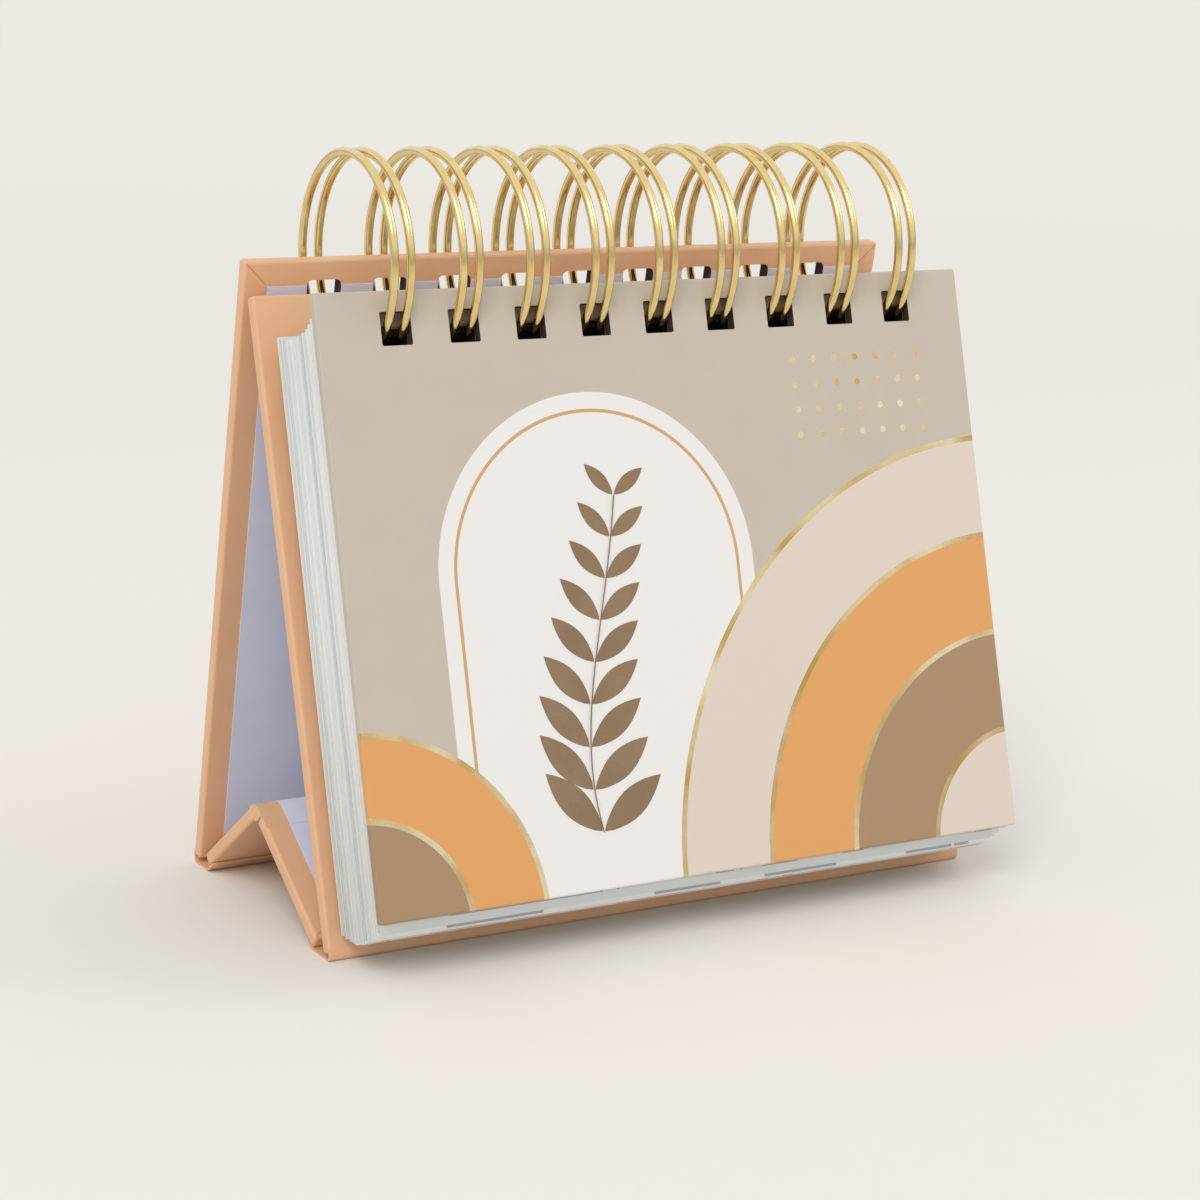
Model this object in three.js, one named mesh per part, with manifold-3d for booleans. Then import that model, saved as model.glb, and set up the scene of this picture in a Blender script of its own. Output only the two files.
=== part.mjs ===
// A day calendar that stands on its own folding easel, in millimetres, +Z up.
// Nine double loops of one continuous wire carry a hard cover and a thick stack of
// leaves in front, and the two large panels of the easel behind. Two narrow base
// boards join the panels' feet in an upside-down V, and fold up between them.
// The sheets are worked out in the side view, as (y, z) points, and run along X.
import * as THREE from "three";
import { mergeVertices } from "three/addons/utils/BufferGeometryUtils.js";
import Module from "manifold-3d";

const wasm = await Module();
wasm.setup();

// Wire binding
const loopCount = 9;
const loopPitch = 12.7;
const wireDiameter = 1.5;
const loopRadius = 18;
const loopCentreY = 26;
const loopCentreZ = 115;
const legSpacing = 3;
const seamOffset = 8.3;
const seamGap = 2.6;
const bendRadius = 1.5;
const stepsPerLeg = 24;
const stepsPerBend = 3;
const wireSides = 6;

// Cover
const coverWidth = 130.4;
const coverLength = 103.5;
const coverThickness = 1.8;
const coverLean = 16.4;
const coverFaceOffset = 12.55;
const coverTopDrop = 7.25;
const coverPaper = 0.25;

// Leaves
const leafWidth = 127.8;
const leafLength = 101.3;
const firstLeafThickness = 0.3;
const bundleCount = 12;
const bundleThickness = 1.33;
const leafGap = 0.08;
const bundleStagger = 0.35;
const staggerSteps = 3;

// Punched holes
const holeMargin = 3.6;
const leafHoleWidth = 5.65;
const leafHoleHeight = 5.65;
const easelHoleWidth = 6.5;
const easelHoleHeight = 9.2;
const holeCorner = 0.9;
const holeClearance = 0.4;

// Easel
const easelWidth = 132;
const boardThickness = 1.9;
const wrapPaper = 0.3;
const glueGap = 0.05;
const turnIn = 4.3;
const linerGap = 0.3;
const edgeRound = 0.4;
const cornerRound = 0.9;
const roundSegments = 2;
const frontLean = 17.6;
const frontTop = 113.6;
const rearLean = 9.6;
const rearTop = 115.6;
const rearFoot = 59.2;
const footGap = 1.6;
const creaseInset = 0.47;
const creaseHeight = 2.2;
const creaseGap = 2.6;
const ridgeY = 31.5;
const ridgeZ = 16.4;
const ridgeGap = 1.2;
const stripThickness = 0.42;
const lipGap = 0.1;
const lipLength = 2.2;
const heelShare = 0.8;
const heelLap = 0.14;
const stripSegments = 5;

const radians = THREE.MathUtils.degToRad;
const frontAngle = 90 - frontLean;
const rearAngle = 90 + rearLean;
const coverAngle = 90 - coverLean;
const easelThickness = boardThickness + 2 * (wrapPaper + glueGap);
const wireRadius = wireDiameter / 2;
const stackWidth = (loopCount - 1) * loopPitch;
const group = new THREE.Group();

// Colours of the finished calendar
const finishes = {
  wire: { color: 0xc9a24a, roughness: 0.28, metalness: 1 },
  board: { color: 0x9a948a, roughness: 0.95, metalness: 0 },
  peachPaper: { color: 0xe3ac83, roughness: 0.6, metalness: 0 },
  liner: { color: 0xe9e8f0, roughness: 0.8, metalness: 0 },
  coverPrint: { color: 0xcdbdac, roughness: 0.55, metalness: 0 },
  page: { color: 0xe6ebea, roughness: 0.85, metalness: 0 },
};

// A closed geometry as a solid that can be joined and cut.
function solid(geometry) {
  const bare = geometry.clone();
  bare.deleteAttribute("normal");
  bare.deleteAttribute("uv");
  const merged = mergeVertices(bare, 1e-4);
  return new wasm.Manifold(
    new wasm.Mesh({
      numProp: 3,
      vertProperties: new Float32Array(merged.attributes.position.array),
      triVerts: new Uint32Array(merged.index.array),
    }),
  );
}

function geometryOf(body) {
  const mesh = body.getMesh();
  const geometry = new THREE.BufferGeometry();
  geometry.setAttribute("position", new THREE.BufferAttribute(mesh.vertProperties, 3));
  geometry.setIndex(new THREE.BufferAttribute(mesh.triVerts, 1));
  geometry.computeVertexNormals();
  return geometry;
}

function addMesh(parent, name, body, finish) {
  const material = new THREE.MeshStandardMaterial(finishes[finish]);
  const mesh = new THREE.Mesh(geometryOf(body), material);
  mesh.name = name;
  parent.add(mesh);
}

// A group whose own Y runs up a sheet from a point of the side view, and whose own
// X is the calendar's, so its Z is the sheet's normal. The angle is from +Y up.
function sheetFrame(y, z, angle) {
  const frame = new THREE.Group();
  frame.position.set(0, y, z);
  frame.rotation.x = radians(angle);
  group.add(frame);
  return frame;
}

// A box from (x, y, z) low to high corners.
function block(low, high) {
  const size = high.map((value, i) => value - low[i]);
  const box = new THREE.BoxGeometry(...size);
  box.translate(...low.map((value, i) => value + size[i] / 2));
  return solid(box);
}

// The outline of a rounded rectangle, or of a plain one where the radius is zero.
function roundedRectangle(width, low, high, radius) {
  const half = width / 2;
  const shape = new THREE.Shape();
  if (radius === 0) {
    shape.moveTo(-half, low);
    shape.lineTo(half, low);
    shape.lineTo(half, high);
    shape.lineTo(-half, high);
    return shape;
  }
  const quarter = Math.PI / 2;
  shape.absarc(half - radius, low + radius, radius, -quarter, 0);
  shape.absarc(half - radius, high - radius, radius, 0, quarter);
  shape.absarc(-half + radius, high - radius, radius, quarter, 2 * quarter);
  shape.absarc(-half + radius, low + radius, radius, 2 * quarter, 3 * quarter);
  return shape;
}

// A row of prisms, one at each loop, that punches the holes of a sheet. The holes
// reach down from holeTop, and pass the sheet from side to side.
function punch(width, height, holeTop, radius) {
  const reach = loopRadius;
  const shape = roundedRectangle(width, holeTop - height, holeTop, radius);
  const settings = { depth: 2 * reach, bevelEnabled: false, curveSegments: 1 };
  const prism = new THREE.ExtrudeGeometry(shape, settings);
  prism.translate(0, 0, -reach);
  const holes = [];
  for (let i = 0; i < loopCount; i += 1) {
    const copy = prism.clone();
    copy.translate(i * loopPitch - stackWidth / 2, 0, 0);
    holes.push(solid(copy));
  }
  return holes.reduce((row, hole) => row.add(hole));
}

// A paper-wrapped board: its length runs from bottom to top, its thickness from
// zero to depth along the normal, with the outer face at zero.
function wrappedBoard(frame, name, size) {
  const { width, bottom, top, paper, core, outward, holes, print } = size;
  const depth = core + 2 * (paper + glueGap);
  const inner = (value) => -outward * value;
  const span = (...depths) => depths.map(inner).sort((a, b) => a - b);
  const cell = (inset, from, to) => {
    const [low, high] = span(from, to);
    const half = width / 2 - inset;
    return block([-half, bottom + inset, low], [half, top - inset, high]);
  };
  const shell = roundedRectangle(width, bottom, top, cornerRound);
  const skin = new THREE.ExtrudeGeometry(shell, {
    depth: depth - 2 * edgeRound,
    bevelThickness: edgeRound,
    bevelSize: edgeRound,
    bevelOffset: -edgeRound,
    bevelSegments: roundSegments,
    curveSegments: roundSegments,
  });
  skin.translate(0, 0, span(edgeRound, depth - edgeRound)[0]);
  const cut = (body) => (holes ? body.subtract(holes) : body);
  const pocket = cell(paper, paper, depth - paper);
  const window = cell(turnIn, depth - 2 * paper, depth + paper);
  const board = cell(paper + glueGap, paper + glueGap, depth - paper - glueGap);
  const liner = cell(turnIn + linerGap, depth - paper, depth);
  addMesh(frame, name + "_wrap", cut(solid(skin).subtract(pocket).subtract(window)), print);
  addMesh(frame, name + "_board", cut(board), "board");
  addMesh(frame, name + "_liner", cut(liner), "liner");
}

// The easel's two large panels, each from its foot up to its top edge.
function addPanels() {
  const panel = {
    width: easelWidth,
    bottom: footGap,
    paper: wrapPaper,
    core: boardThickness,
    print: "peachPaper",
  };
  const hole = (top) => punch(easelHoleWidth, easelHoleHeight, top - holeMargin, holeCorner);
  wrappedBoard(sheetFrame(0, 0, frontAngle), "front", {
    ...panel,
    top: frontTop,
    outward: 1,
    holes: hole(frontTop),
  });
  wrappedBoard(sheetFrame(rearFoot, 0, rearAngle), "rear", {
    ...panel,
    top: rearTop,
    outward: -1,
    holes: hole(rearTop),
  });
}

// The pivots of the base boards: each lies at its panel's foot, just inside it.
function creasePoint(footY, angle, inward) {
  const along = radians(angle);
  const depth = (easelThickness + creaseInset) * inward;
  return {
    y: footY + creaseHeight * Math.cos(along) + depth * Math.sin(along),
    z: creaseHeight * Math.sin(along) - depth * Math.cos(along),
  };
}

// A base board runs from its crease up to the ridge. Its upper face passes through
// the crease, and the ridge, where its paper folds, lies on its underside.
function addBaseBoard(name, crease, outward) {
  const rise = ridgeZ - crease.z;
  const run = ridgeY - crease.y;
  const reach = Math.hypot(run, rise);
  const length = Math.sqrt(reach ** 2 - easelThickness ** 2);
  const tilt = Math.asin(easelThickness / reach);
  const angle = THREE.MathUtils.radToDeg(Math.atan2(rise, run) - outward * tilt);
  const frame = sheetFrame(crease.y, crease.z, angle);
  const body = new THREE.Group();
  body.position.z = outward * easelThickness;
  frame.add(body);
  wrappedBoard(body, name, {
    width: easelWidth,
    bottom: creaseGap,
    top: length - ridgeGap,
    paper: wrapPaper,
    core: boardThickness,
    outward,
    print: "peachPaper",
  });
  return { crease, tilt: radians(angle) };
}

// A point of the paper below a base board's underside, from how deep below it and how
// far up the board from its crease it lies.
function underBoard(board, inward, depth, reach) {
  const below = inward * (easelThickness + depth);
  const { crease, tilt } = board;
  return {
    y: crease.y + below * Math.sin(tilt) + reach * Math.cos(tilt),
    z: crease.z - below * Math.cos(tilt) + reach * Math.sin(tilt),
  };
}

// The paper that turns from a panel's foot to its base board lies flat on the table,
// so the calendar stands on it, and ends in a lip that runs up below the board. It is
// a thin bent strip, extruded along X.
function addHingeStrip(name, footY, angle, inward, board) {
  const along = radians(angle);
  const upY = Math.cos(along);
  const upZ = Math.sin(along);
  const heel = footGap * heelShare;
  const outline = new THREE.Shape();
  const toe = footY + inward * footGap;
  const lipLine = (depth, z) => {
    const start = underBoard(board, inward, depth, 0);
    const reach = (z - start.z) / Math.sin(board.tilt);
    const bend = underBoard(board, inward, depth, reach);
    const end = underBoard(board, inward, depth, creaseGap + lipLength);
    return { bend, end };
  };
  const lower = lipLine(lipGap + stripThickness, 0);
  const upper = lipLine(lipGap, stripThickness);
  outline.moveTo(footY + heel * upY, heel * upZ);
  outline.quadraticCurveTo(footY, 0, toe, 0);
  outline.lineTo(lower.bend.y, lower.bend.z);
  outline.lineTo(lower.end.y, lower.end.z);
  outline.lineTo(upper.end.y, upper.end.z);
  outline.lineTo(upper.bend.y, upper.bend.z);
  outline.lineTo(toe, stripThickness);
  outline.quadraticCurveTo(
    footY + inward * stripThickness,
    stripThickness,
    footY + heel * upY + inward * stripThickness,
    heel * upZ - heelLap,
  );
  const settings = { depth: easelWidth, bevelEnabled: false, curveSegments: stripSegments };
  const strip = new THREE.ExtrudeGeometry(outline, settings);
  strip.translate(0, 0, -easelWidth / 2);
  strip.rotateX(radians(90));
  strip.rotateZ(radians(90));
  addMesh(group, name, solid(strip), "peachPaper");
}

// The hard cover and the leaves hang in parallel planes from the loops. A plane is
// given by its offset from the loops' centre, towards the reader, and a height on
// it by its drop below the centre.
const stackFrame = sheetFrame(loopCentreY, loopCentreZ, coverAngle);

// How far below the centre the wire's inner side crosses a plane at this offset.
function wireDrop(offset) {
  const innerRadius = loopRadius - wireRadius;
  return Math.sqrt(innerRadius ** 2 - offset ** 2);
}

function addCover() {
  const body = new THREE.Group();
  body.position.z = coverFaceOffset;
  stackFrame.add(body);
  const top = -coverTopDrop;
  wrappedBoard(body, "cover", {
    width: coverWidth,
    bottom: top - coverLength,
    top,
    paper: coverPaper,
    core: coverThickness - 2 * (coverPaper + glueGap),
    outward: 1,
    holes: punch(leafHoleWidth, leafHoleHeight, top - holeMargin, holeCorner),
    print: "coverPrint",
  });
}

// A leaf, or a bundle of leaves, whose holes hang on the wire. The wire leans
// through the sheets, so the highest point that it reaches in them counts.
function addLeaf(name, front, thickness, trim) {
  const back = front - thickness;
  const steepest = Math.max(Math.abs(front), Math.abs(back));
  const holeTop = holeClearance - wireDrop(steepest);
  const top = holeTop + holeMargin;
  const half = leafWidth / 2 - trim;
  const sheet = block([-half, top - leafLength, back], [half, top, front]);
  const holes = punch(leafHoleWidth, leafHoleHeight, holeTop, 0);
  addMesh(stackFrame, name, sheet.subtract(holes), "page");
}

function addLeaves() {
  let front = coverFaceOffset - coverThickness - leafGap;
  addLeaf("first_leaf", front, firstLeafThickness, 0);
  front -= firstLeafThickness + leafGap;
  for (let i = 1; i <= bundleCount; i += 1) {
    const trim = (i % staggerSteps) * bundleStagger;
    addLeaf("leaves_" + String(i).padStart(2, "0"), front, bundleThickness, trim);
    front -= bundleThickness + leafGap;
  }
}

// One point of a loop: x, and the turn about the loops' centre from its seam.
function loopPoint(x, turn, startAngle) {
  const angle = startAngle + turn;
  return new THREE.Vector3(
    x,
    loopCentreY + loopRadius * Math.cos(angle),
    loopCentreZ + loopRadius * Math.sin(angle),
  );
}

// The wire's centre line. It runs along the seam, up and round one leg, turns in a
// hairpin at the tip, comes back down the twin leg, and goes on to the next loop.
function wireRoute() {
  const seamDrop = Math.sqrt(loopRadius ** 2 - seamOffset ** 2);
  const seamAngle = radians(coverAngle) + Math.PI + Math.atan2(seamOffset, seamDrop);
  const bendTurn = bendRadius / loopRadius;
  const tipTurn = 2 * Math.PI - seamGap / loopRadius - bendTurn;
  const half = legSpacing / 2;
  const points = [];
  for (let i = 0; i < loopCount; i += 1) {
    const centre = i * loopPitch - stackWidth / 2;
    const leg = (side, from, to) => {
      for (let k = 0; k <= stepsPerLeg; k += 1) {
        const turn = THREE.MathUtils.lerp(from, to, k / stepsPerLeg);
        points.push(loopPoint(centre + side * half, turn, seamAngle));
      }
    };
    const bend = (from, to, x, turn, reachX, reachTurn) => {
      for (let k = 1; k < stepsPerBend; k += 1) {
        const a = THREE.MathUtils.lerp(from, to, k / stepsPerBend);
        const px = x + reachX * Math.cos(a);
        points.push(loopPoint(px, turn + reachTurn * Math.sin(a), seamAngle));
      }
    };
    const quarter = Math.PI / 2;
    if (i > 0) {
      points.push(loopPoint(centre - half - bendRadius, 0, seamAngle));
      bend(-quarter, 0, centre - half - bendRadius, bendTurn, bendRadius, bendTurn);
    }
    leg(-1, bendTurn, tipTurn);
    bend(Math.PI, quarter, centre, tipTurn, half, bendTurn);
    points.push(loopPoint(centre, tipTurn + bendTurn, seamAngle));
    bend(quarter, 0, centre, tipTurn, half, bendTurn);
    leg(1, tipTurn, bendTurn);
    if (i < loopCount - 1) {
      bend(Math.PI, 3 * quarter, centre + half + bendRadius, bendTurn, bendRadius, bendTurn);
      points.push(loopPoint(centre + half + bendRadius, 0, seamAngle));
    }
  }
  return points;
}

// A tube along the points: a ring of sides at each point, carried from one to the
// next without twist, and a flat end at both cut ends of the wire.
function tube(points, radius, sides) {
  const position = [];
  const index = [];
  const last = points.length - 1;
  const tangent = (i) => {
    const before = points[Math.max(i - 1, 0)];
    const after = points[Math.min(i + 1, last)];
    return after.clone().sub(before).normalize();
  };
  let normal = new THREE.Vector3(1, 0, 0);
  points.forEach((point, i) => {
    const along = tangent(i);
    normal = normal.clone().addScaledVector(along, -normal.dot(along)).normalize();
    const across = along.clone().cross(normal);
    for (let k = 0; k < sides; k += 1) {
      const angle = (2 * Math.PI * k) / sides;
      const rim = point.clone();
      rim.addScaledVector(normal, radius * Math.cos(angle));
      rim.addScaledVector(across, radius * Math.sin(angle));
      position.push(rim.x, rim.y, rim.z);
    }
  });
  for (let i = 0; i < last; i += 1) {
    for (let k = 0; k < sides; k += 1) {
      const a = i * sides + k;
      const b = i * sides + ((k + 1) % sides);
      index.push(a, b, b + sides, a, b + sides, a + sides);
    }
  }
  for (let k = 1; k < sides - 1; k += 1) {
    const end = last * sides;
    index.push(0, k + 1, k, end, end + k, end + k + 1);
  }
  const geometry = new THREE.BufferGeometry();
  geometry.setAttribute("position", new THREE.Float32BufferAttribute(position, 3));
  geometry.setIndex(index);
  return geometry;
}

// The least free gap between stretches of the wire that aren't neighbours along it.
function leastGap(points) {
  const nearby = 3 * wireDiameter;
  const runs = [0];
  points.forEach((point, i) => {
    if (i > 0) runs.push(runs[i - 1] + point.distanceTo(points[i - 1]));
  });
  let least = Infinity;
  for (let i = 0; i < points.length; i += 1) {
    for (let k = i + 1; k < points.length; k += 1) {
      if (runs[k] - runs[i] < nearby) continue;
      least = Math.min(least, points[i].distanceTo(points[k]));
    }
  }
  return least - wireDiameter;
}

function addWire() {
  const route = wireRoute();
  console.log("least gap of the wire to itself, mm:", leastGap(route).toFixed(2));
  addMesh(group, "wire_binding", solid(tube(route, wireRadius, wireSides)), "wire");
}

addPanels();
const frontCrease = creasePoint(0, frontAngle, 1);
const rearCrease = creasePoint(rearFoot, rearAngle, -1);
const frontBase = addBaseBoard("base_front", frontCrease, -1);
const rearBase = addBaseBoard("base_rear", rearCrease, 1);
addHingeStrip("front_hinge_strip", 0, frontAngle, 1, frontBase);
addHingeStrip("rear_hinge_strip", rearFoot, rearAngle, -1, rearBase);
addCover();
addLeaves();
addWire();

// The origin is under the middle of the whole calendar, on the table.
const bounds = new THREE.Box3().setFromObject(group, true);
const middle = bounds.getCenter(new THREE.Vector3());
group.position.set(-middle.x, -middle.y, -bounds.min.z);
group.name = "day_calendar";

export default group;
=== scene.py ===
# %% [markdown]
# # A day calendar on its folding easel
# The real object is a bindery product: grey board wrapped in printed paper, a thick
# block of loose leaves, and one long wire that is bent into nine double loops. This
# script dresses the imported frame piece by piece. Each piece is built in millimetres
# in its own sheet's plane, and then placed once, so that every mesh ends up in the
# calendar's own frame with its object at the origin.

# %% Load the fixed frame
import math
from functools import partial

import bmesh
import bpy
from mathutils import Matrix, Vector


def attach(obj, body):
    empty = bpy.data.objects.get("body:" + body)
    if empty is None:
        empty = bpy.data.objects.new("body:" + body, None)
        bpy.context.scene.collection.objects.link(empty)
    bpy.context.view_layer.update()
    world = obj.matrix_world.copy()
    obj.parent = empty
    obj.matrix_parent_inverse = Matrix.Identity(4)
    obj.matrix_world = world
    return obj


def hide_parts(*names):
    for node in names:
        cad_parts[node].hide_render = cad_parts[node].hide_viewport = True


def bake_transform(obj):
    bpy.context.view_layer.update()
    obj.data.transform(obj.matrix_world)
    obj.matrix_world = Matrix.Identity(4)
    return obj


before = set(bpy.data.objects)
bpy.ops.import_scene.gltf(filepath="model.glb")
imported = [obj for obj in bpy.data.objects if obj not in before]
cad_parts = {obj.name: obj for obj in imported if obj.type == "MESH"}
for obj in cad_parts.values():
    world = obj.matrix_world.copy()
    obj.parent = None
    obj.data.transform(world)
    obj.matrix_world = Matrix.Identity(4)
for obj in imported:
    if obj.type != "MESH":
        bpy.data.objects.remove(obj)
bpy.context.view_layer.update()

# %% [markdown]
# ## The sheets' planes
# Every flat part of the calendar is a sheet that leans in the side view. One matrix
# for each takes a drawing in millimetres, with X along the wire, Y up the sheet and
# Z out of its face, to its place in the frame. Each piece could be turned by hand,
# but the same matrix also lays the printed pattern on the sheet in its material.

# %% Planes of the sheets
MM = 0.001
SIDE_SHIFT = -20.9018  # mm, from the front panel's foot to the middle of the base
STACK_AT, STACK_ANGLE = (26, 115), 73.6
FRONT_FOOT, FRONT_ANGLE = (0, 0), 72.4
REAR_FOOT, REAR_ANGLE = (59.2, 0), 99.6
FRONT_CREASE, BASE_FRONT_ANGLE = (3.592, 1.169), 33.3146
REAR_CREASE, BASE_REAR_ANGLE = (55.806, 1.657), 143.513


def sheet_plane(at, angle):
    place = Matrix.Translation((0, (at[0] + SIDE_SHIFT) * MM, at[1] * MM))
    return place @ Matrix.Rotation(math.radians(angle), 4, "X") @ Matrix.Scale(MM, 4)


STACK = sheet_plane(STACK_AT, STACK_ANGLE)
FRONT = sheet_plane(FRONT_FOOT, FRONT_ANGLE)
REAR = sheet_plane(REAR_FOOT, REAR_ANGLE)
BASE_FRONT = sheet_plane(FRONT_CREASE, BASE_FRONT_ANGLE)
BASE_REAR = sheet_plane(REAR_CREASE, BASE_REAR_ANGLE)
SIDE = sheet_plane((0, 0), 0)
print("stack plane origin, mm:", [round(v / MM, 2) for v in STACK.translation])

# %% [markdown]
# ## Helpers for materials
# Colours are given as hex values, which are sRGB, while Blender mixes light
# in linear values, so one function converts them. Another adds a node with its
# settings and links. What goes into it is named by socket, or listed in the order
# in which the node shows its sockets. A node that is given as a value stands for its
# first output in use. Each finish below gets this function as "add", with its own
# tree filled in, and Object coordinates as "where". It only has to say what goes
# into the usual shader, which keeps it readable as one short list, and a finish that
# needs another kind of shader brings its own.

# %% Colour and node helpers
MATH, VECTOR, MIX = "ShaderNodeMath", "ShaderNodeVectorMath", "ShaderNodeMix"
NOISE, RANGE, XYZ = "ShaderNodeTexNoise", "ShaderNodeMapRange", "ShaderNodeCombineXYZ"


def linear(code):
    parts = [int(code[i:i + 2], 16) / 255 for i in (1, 3, 5)]
    curve = [v / 12.92 if v <= 0.04045 else ((v + 0.055) / 1.055) ** 2.4 for v in parts]
    return (*curve, 1.0)


def add_node(tree, kind, inputs=(), operation=None, **settings):
    node = tree.nodes.new(kind)
    if operation:
        node.operation = operation
    for name, value in settings.items():
        setattr(node, name, value)
    shown = [socket for socket in node.inputs if socket.enabled]
    for key, value in (inputs.items() if isinstance(inputs, dict) else enumerate(inputs)):
        socket = shown[key] if isinstance(key, int) else next(s for s in shown if s.name == key)
        if isinstance(value, bpy.types.Node):
            value = next(output for output in value.outputs if output.enabled)
        if isinstance(value, bpy.types.NodeSocket):
            tree.links.new(value, socket)
        else:
            socket.default_value = value
    return node


def empty_tree(holder):
    holder.use_nodes = True
    holder.node_tree.nodes.clear()
    return partial(add_node, holder.node_tree)


def new_material(name, finish, *details):
    material = bpy.data.materials.new(name)
    add = empty_tree(material)
    surface = finish(add, add("ShaderNodeTexCoord").outputs["Object"], *details)
    if isinstance(surface, dict):
        surface = add("ShaderNodeBsdfPrincipled", surface)
    add("ShaderNodeOutputMaterial", [surface])
    return material


print("pale gold as light:", [round(v, 3) for v in linear("#F0DEA6")])

# %% [markdown]
# ## Paper
# The boards are wrapped in coated paper with a matt film, so it is smooth, with a
# soft broad gloss and only a trace of tooth. What tells it from plastic is a cloudy
# unevenness a few millimetres wide, and the fine tooth. A scanned picture could show
# both, but noise on Object coordinates stays sharp and needs no file. Its scales are
# worked out from millimetres. The tooth of such paper is about 0.1 mm, too fine to
# show, so it is drawn at 0.5 mm.

# %% Paper materials
CLOUD_MM = 9
TOOTH_MM = 0.5
TOOTH_SHARE = 0.35  # of the tone, the rest is cloud


def paper_finish(add, where, light, dark, roughness, tooth):
    cloud = add(NOISE, {"Vector": where, "Scale": 1 / (CLOUD_MM * MM), "Detail": 4})
    fibre = add(NOISE, {"Vector": where, "Scale": 1 / (TOOTH_MM * MM), "Detail": 3})
    both = add(MATH, [fibre, TOOTH_SHARE, cloud], "MULTIPLY_ADD")
    tone = add(RANGE, {"Value": both, "From Min": 0.45, "From Max": 0.95})
    colour = add(MIX, [tone, linear(light), linear(dark)], data_type="RGBA")
    bump = add("ShaderNodeBump", {"Strength": 0.35, "Distance": tooth * MM, "Height": fibre})
    return {"Base Color": colour, "Roughness": roughness, "Normal": bump}


peach_paper = new_material("matt laminated peach paper", paper_finish, "#E6B78E", "#E2B087", 0.5, 0.02)
# The lining is white paper; its cool lavender tint is painted shade, the blue cast of the shadow on the
# easel's inner faces.
lining_paper = new_material("uncoated white lining paper", paper_finish, "#DADCEC", "#D3D6E8", 0.85, 0.03)
# The grey board of the hole walls is darkened to a deep brown: painted shade for the inside of the punched
# holes.
board_edge = new_material("punched edge of grey board", paper_finish, "#4C3A30", "#352823", 0.95, 0.05)
brown_ink = new_material("brown printing ink", paper_finish, "#8F7557", "#7F674C", 0.5, 0.01)
print("papers and ink:", [m.name for m in (peach_paper, lining_paper, board_edge, brown_ink)])

# %% [markdown]
# ## Millimetres on the stack
# What is printed on the cover and on the leaves is measured from the wire, as a
# printer would. UV maps could carry those measures, but every sheet of the stack
# lies in one plane, so a Mapping node of the Texture type turns Object coordinates
# into millimetres across, up and out of the stack.

# %% Coordinates on the stack


def on_stack(add, where):
    turn = (math.radians(STACK_ANGLE), 0, 0)
    return add("ShaderNodeMapping", vector_type="TEXTURE", inputs={
        "Vector": where, "Location": STACK.translation, "Rotation": turn, "Scale": (MM, MM, MM)})


print("the stack leans", STACK_ANGLE, "degrees, and one unit on it is", MM, "m")

# %% [markdown]
# ## The printed cover: flat inks
# The cover is the same kind of wrapped board with a flat offset print. The design is
# a plain one: an arch, and nested quarter circles in two corners. Distances from a
# few points make all of it, so it stays sharp at any size. The arch is a distance
# from a point that is clamped below it, which gives the straight sides.

# %% Arch and quarter circles
COVER_HALF = 65.2
COVER_BOTTOM = -110.75
ARCH_AT, ARCH_RADIUS = (-17, -57, 0), 31
ARCH_LINE_RADIUS, ARCH_LINE_WIDTH = ARCH_RADIUS - 3.2, 0.6
FOIL_WIDTH = 1.0
CORNER_OVERHANG = 2
GROUND_CLOUD_MM = 8.3333
CORNER_RINGS = ((1, 74, "#D9CBBE"), (1, 56, "#DB9E5D"), (1, 38, "#A48564"), (1, 20, "#D9CBBE"),
                (-1, 33, "#DB9E5D"), (-1, 19, "#A48564"))


def distance_from_arch(add, flat):
    offset = add(VECTOR, [flat, ARCH_AT], "SUBTRACT")
    raised = add(VECTOR, [offset, (-2 * COVER_HALF, 0, 0)], "MAXIMUM")
    return add(VECTOR, [raised], "LENGTH")


def flat_inks(add, place, flat):
    cloud = add(NOISE, {"Vector": place, "Scale": 1 / GROUND_CLOUD_MM, "Detail": 4})
    colour = add(MIX, [cloud, linear("#C4B9AA"), linear("#BEB2A3")], data_type="RGBA")
    arch = distance_from_arch(add, flat)
    fields = [(add(MATH, [arch, ARCH_RADIUS], "LESS_THAN"), "#E6E4E1"),
              (add(MATH, [arch, ARCH_LINE_RADIUS, ARCH_LINE_WIDTH / 2], "COMPARE"), "#C9A06C")]
    borders = []
    for side, radius, code in CORNER_RINGS:
        corner = (side * (COVER_HALF + CORNER_OVERHANG), COVER_BOTTOM - CORNER_OVERHANG, 0)
        away = add(VECTOR, [flat, corner], "DISTANCE")
        fields.append((add(MATH, [away, radius], "LESS_THAN"), code))
        borders.append(add(MATH, [away, radius, FOIL_WIDTH / 2], "COMPARE"))
    for field, code in fields:
        colour = add(MIX, [field, colour, linear(code)], data_type="RGBA")
    return colour, borders


print("printed fields:", 2 + len(CORNER_RINGS))

# %% [markdown]
# ## The printed cover: foil
# The thin lines and the dots are hot-stamped metal foil. They could be separate thin
# pieces, but foil is far thinner than a pixel, so masks are the plain way: the same
# mask drives colour, metallic, roughness and a trace of height. The dots repeat by
# wrapping the coordinates into one small cell.

# %% Foil dots and the cover's material
DOT_PITCH = 4.5
DOT_RADIUS = 0.6
FOIL_PATCH_MM, COVER_TOOTH_MM = 14.2857, 0.45455
FOIL_RISE = 0.6
PATCH_ACROSS, PATCH_UP = (40.5, 14.5), (-29.25, 7.6)  # middle and half size of the patch


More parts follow.
